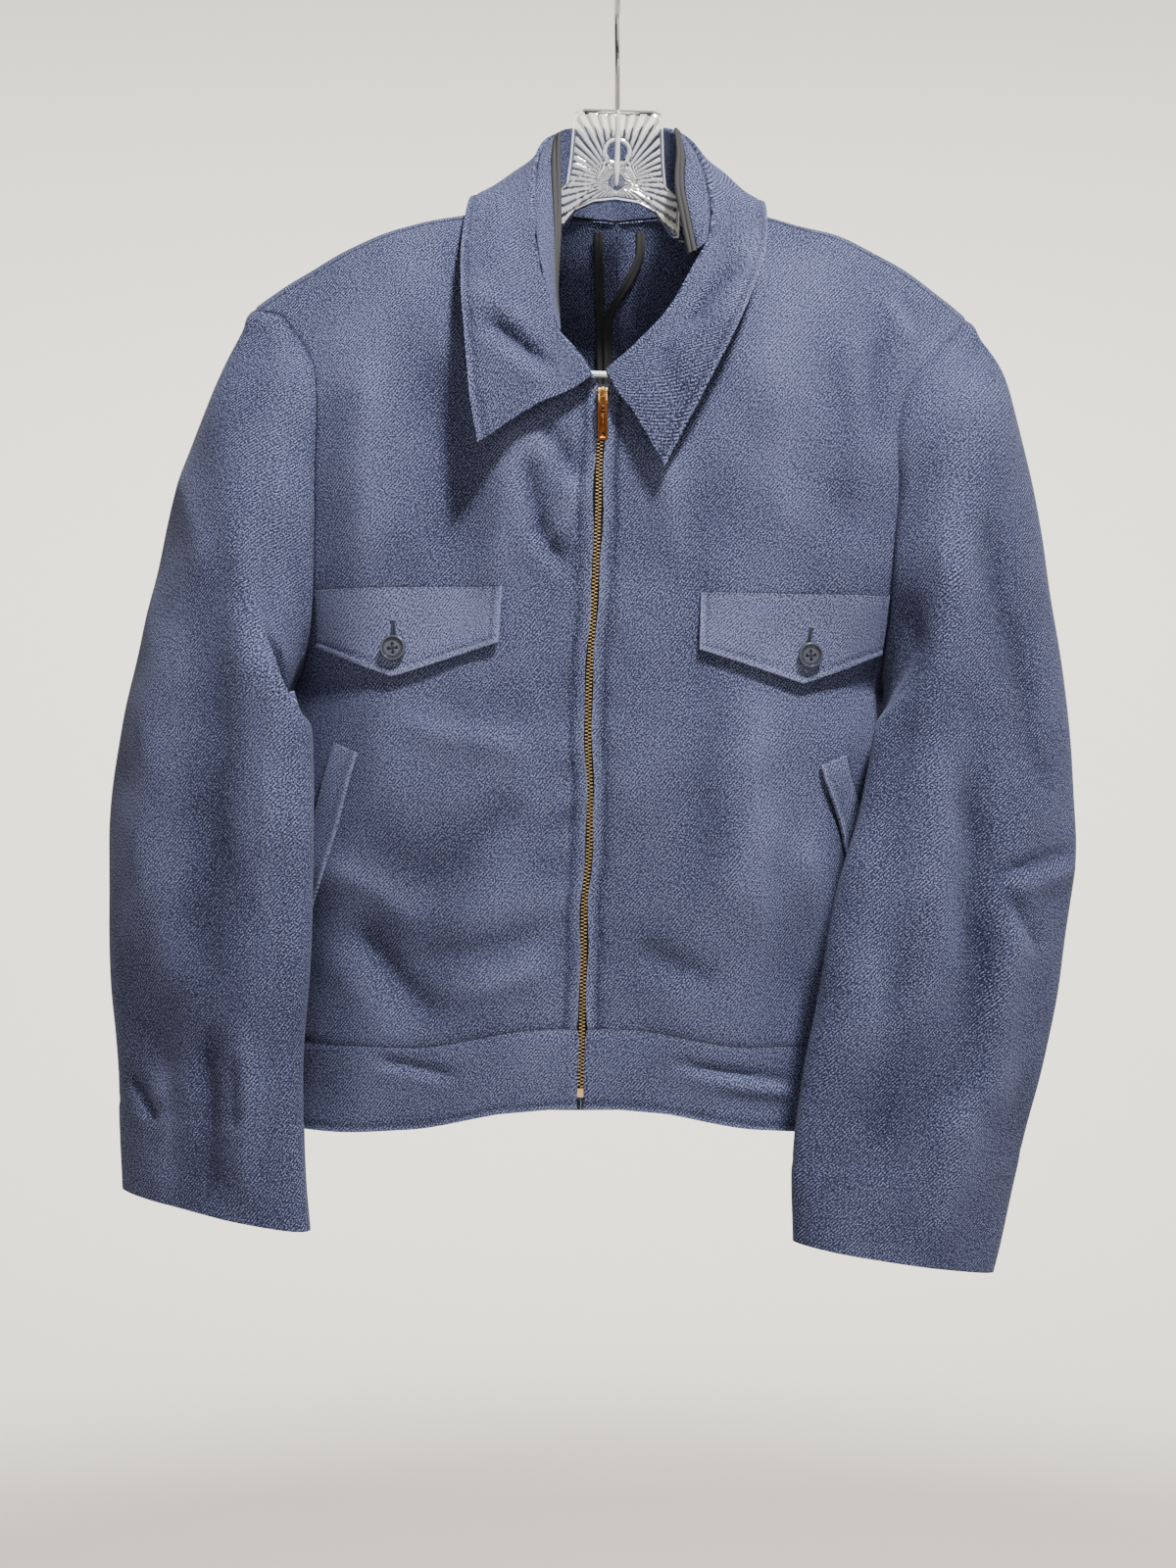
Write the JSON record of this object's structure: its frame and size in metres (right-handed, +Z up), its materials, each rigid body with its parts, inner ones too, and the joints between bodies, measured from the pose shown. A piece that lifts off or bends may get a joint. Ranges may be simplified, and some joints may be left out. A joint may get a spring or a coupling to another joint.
{
  "type": "work jacket on a hanger",
  "caption": "Waist-length zip-front work jacket with pointed collar, chest flaps and slanted pocket welts, hanging open at neck, hem and cuffs on a clear plastic hanger with a steel hook.",
  "frame": {"origin": "the place where a rod carries the hanger, on the inside of the hook's crown", "axes": "the jacket's front faces -Y, +Z is up, and the wearer's right is at -X"},
  "size_m": [0.6428, 0.1769, 0.8694],
  "materials": {
    "jacket_cloth": "heather blue-grey wool twill",
    "binding_cloth": "charcoal bias binding",
    "zip_tape_cloth": "woven zip tape",
    "zip_brass": "bright brass",
    "tab_copper": "dark copper-coloured metal",
    "button_plastic": "dark navy, half gloss",
    "hanger_plastic": "clear",
    "hook_steel": "polished wire"
  },
  "bodies": {
    "jacket": {"front_right": "jacket_cloth", "back_right": "jacket_cloth", "waistband_right": "jacket_cloth", "sleeve_top_right": "jacket_cloth", "sleeve_under_right": "jacket_cloth", "flap_right": "jacket_cloth", "welt_right": "jacket_cloth", "facing_right": "jacket_cloth", "allowance_right": "jacket_cloth", "front_left": "jacket_cloth", "back_left": "jacket_cloth", "waistband_left": "jacket_cloth", "sleeve_top_left": "jacket_cloth", "sleeve_under_left": "jacket_cloth", "flap_left": "jacket_cloth", "welt_left": "jacket_cloth", "facing_left": "jacket_cloth", "allowance_left": "jacket_cloth", "collar": "jacket_cloth", "binding_facing_right": "binding_cloth", "binding_facing_left": "binding_cloth", "binding_back_right": "binding_cloth", "binding_back_left": "binding_cloth", "zip_tape_right": "zip_tape_cloth", "zip_tape_left": "zip_tape_cloth", "zip_chain": "zip_brass", "zip_slider": "zip_brass", "zip_retainer": "zip_brass", "button_right": "button_plastic", "button_left": "button_plastic", "hanger_body": "hanger_plastic", "hanger_bar": "hanger_plastic", "hanger_hook": "hook_steel"},
    "pull_tab": {"zip_pull_tab": "tab_copper"}
  },
  "joints": [
    {"name": "pull_tab_swing", "type": "hinge", "parent": "jacket", "child": "pull_tab", "pos_m": [-0.01032, -0.07706, -0.30125], "axis": [-1, 0, 0], "range_deg": [0, 120]}
  ]
}
